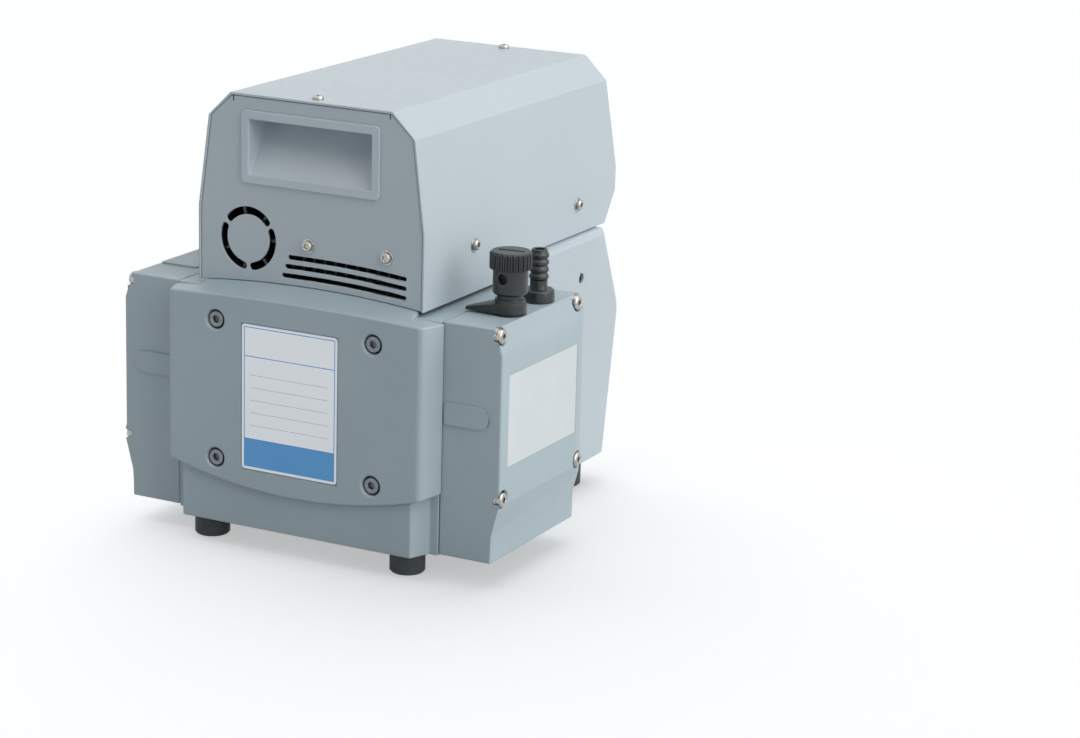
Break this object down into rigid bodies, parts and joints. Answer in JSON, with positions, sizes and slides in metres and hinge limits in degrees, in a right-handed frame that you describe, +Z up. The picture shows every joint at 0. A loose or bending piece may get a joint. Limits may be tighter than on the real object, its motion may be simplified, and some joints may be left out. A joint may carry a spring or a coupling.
{
  "type": "diaphragm vacuum pump",
  "caption": "Bench diaphragm vacuum pump: cast crankcase between diaphragm heads, motor shroud behind, electronics hood on top with grips, gas ballast knob and hose nozzles.",
  "frame": {"origin": "on the surface that the feet stand on, below the middle of the bounding box", "axes": "+X to the head with the gas ballast valve, +Y from the front cover to the rear, +Z up"},
  "size_m": [0.2444, 0.25, 0.258],
  "materials": {
    "painted_casting": "satin powder coat on cast aluminium",
    "painted_sheet": "satin powder coat on folded sheet",
    "bare_aluminium": "machined",
    "capacitor_can": "sleeved",
    "steel": "turned and ground",
    "fastener_steel": "zinc plated",
    "sheet_steel": "galvanised",
    "laminated_steel": "stacked sheets",
    "copper_wire": "enamelled winding",
    "contact_metal": "nickel plated",
    "rubber": "moulded",
    "black_plastic": "moulded",
    "grip_plastic": "moulded",
    "board": "laminate",
    "label_film": "printed film, bare of text"
  },
  "bodies": {
    "base": {"crankcase": "painted_casting", "front_cover": "painted_casting", "cover_screws": "fastener_steel", "nameplate": "label_film", "head_cover_right": "painted_casting", "head_cover_left": "painted_casting", "head_screws": "fastener_steel", "head_lid_right": "bare_aluminium", "head_lid_left": "bare_aluminium", "diaphragm_right": "rubber", "diaphragm_left": "rubber", "valve_plate_right": "bare_aluminium", "valve_plate_left": "bare_aluminium", "valve_discs": "rubber", "manifold_right": "bare_aluminium", "manifold_left": "bare_aluminium", "manifold_bolts": "fastener_steel", "side_label": "label_film", "ballast_seat": "black_plastic", "inlet_nozzle": "black_plastic", "outlet_nozzle": "black_plastic", "crossover_tube": "black_plastic", "shaft_bearings": "steel", "motor_housing": "bare_aluminium", "stator_core": "laminated_steel", "stator_windings": "copper_wire", "motor_end_shield": "bare_aluminium", "motor_shroud": "painted_sheet", "base_plate": "sheet_steel", "feet": "rubber", "hood_cover": "painted_sheet", "hood_front_plate": "painted_sheet", "hood_rear_plate": "painted_sheet", "front_grip": "grip_plastic", "rear_grip": "grip_plastic", "hood_tray": "sheet_steel", "hood_screws": "fastener_steel", "inverter_board": "board", "heat_sink": "bare_aluminium", "capacitors": "capacitor_can", "cooler_frame": "black_plastic", "mains_inlet": "black_plastic", "inlet_blades": "contact_metal", "mains_switch": "black_plastic", "bus_socket": "black_plastic"},
    "crank": {"crankshaft": "steel", "counterweights": "steel", "rotor": "laminated_steel", "motor_fan": "black_plastic"},
    "right_rod": {"rod_right": "bare_aluminium", "rod_bearing_right": "steel", "clamp_discs_right": "steel"},
    "left_rod": {"rod_left": "bare_aluminium", "rod_bearing_left": "steel", "clamp_discs_left": "steel"},
    "hood_fan": {"cooler_rotor": "black_plastic"},
    "ballast_knob": {"ballast_lever": "black_plastic", "ballast_cap": "black_plastic"},
    "rocker": {"mains_rocker": "black_plastic"}
  },
  "joints": [
    {"name": "crank_spin", "type": "hinge", "parent": "base", "child": "crank", "pos_m": [0, 0, 0.08], "axis": [0, 1, 0], "continuous": true, "deforming": ["diaphragm_right", "diaphragm_left"]},
    {"name": "right_rod_turn", "type": "hinge", "parent": "crank", "child": "right_rod", "pos_m": [0.003, 0, 0.08], "axis": [0, 1, 0], "continuous": true},
    {"name": "left_rod_turn", "type": "hinge", "parent": "crank", "child": "left_rod", "pos_m": [0.003, 0, 0.08], "axis": [0, 1, 0], "continuous": true},
    {"name": "hood_fan_spin", "type": "hinge", "parent": "base", "child": "hood_fan", "pos_m": [-0.0399, -0.098, 0.1749], "axis": [0, 1, 0], "continuous": true},
    {"name": "ballast_turn", "type": "hinge", "parent": "base", "child": "ballast_knob", "pos_m": [0.1071, -0.0747, 0.156], "axis": [0, 0, 1], "range_deg": [0, 180]},
    {"name": "mains_rocker_tilt", "type": "hinge", "parent": "base", "child": "rocker", "pos_m": [-0.004, 0.1173, 0.19], "axis": [1, 0, 0], "range_deg": [-16, 0]}
  ],
  "couplings": [
    {"joint": "right_rod_turn", "follows": "crank_spin", "ratio": -1},
    {"joint": "left_rod_turn", "follows": "crank_spin", "ratio": -1}
  ]
}
